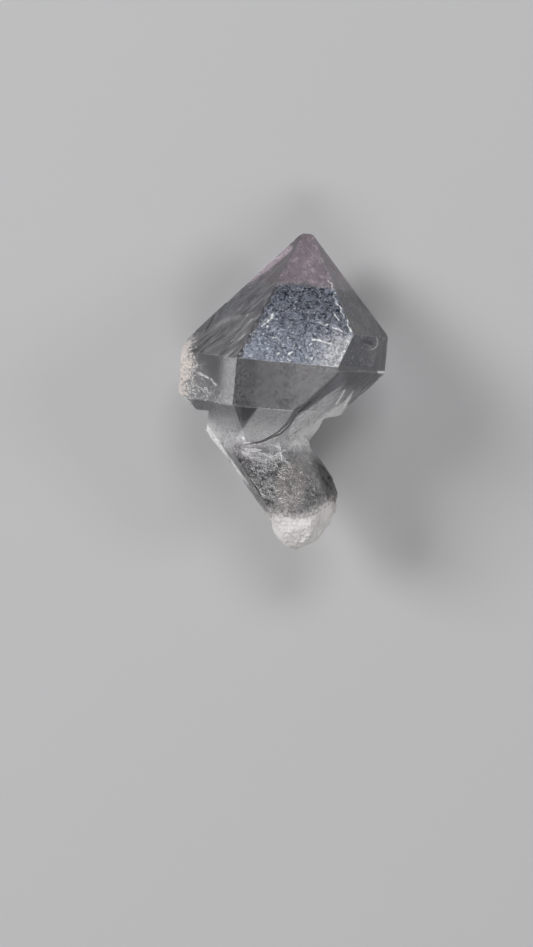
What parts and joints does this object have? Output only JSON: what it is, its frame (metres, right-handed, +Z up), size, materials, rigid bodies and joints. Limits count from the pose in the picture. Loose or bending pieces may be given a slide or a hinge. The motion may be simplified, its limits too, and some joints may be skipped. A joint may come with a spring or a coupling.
{
  "type": "amethyst scepter quartz",
  "caption": "Pale amethyst scepter quartz crystal: a wide clear head with a pyramid at both ends, grown over a narrow slanted stem, lying on a flat prism face.",
  "frame": {"origin": "middle of the bounding box's base, on the surface that the crystal lies on", "axes": "+Y along the crystal's long axis from the stem to the tip, +Z up, away from the prism face that it rests on, +X to the right when seen from above with the tip away from the viewer"},
  "size_m": [0.0104, 0.0158, 0.0083],
  "materials": {
    "quartz": "clear lilac-grey crystal, violet at the tip, frosted along the left rim and white at the stem's broken end"
  },
  "bodies": {
    "root": {"scepter_crystal": "quartz"}
  },
  "joints": []
}
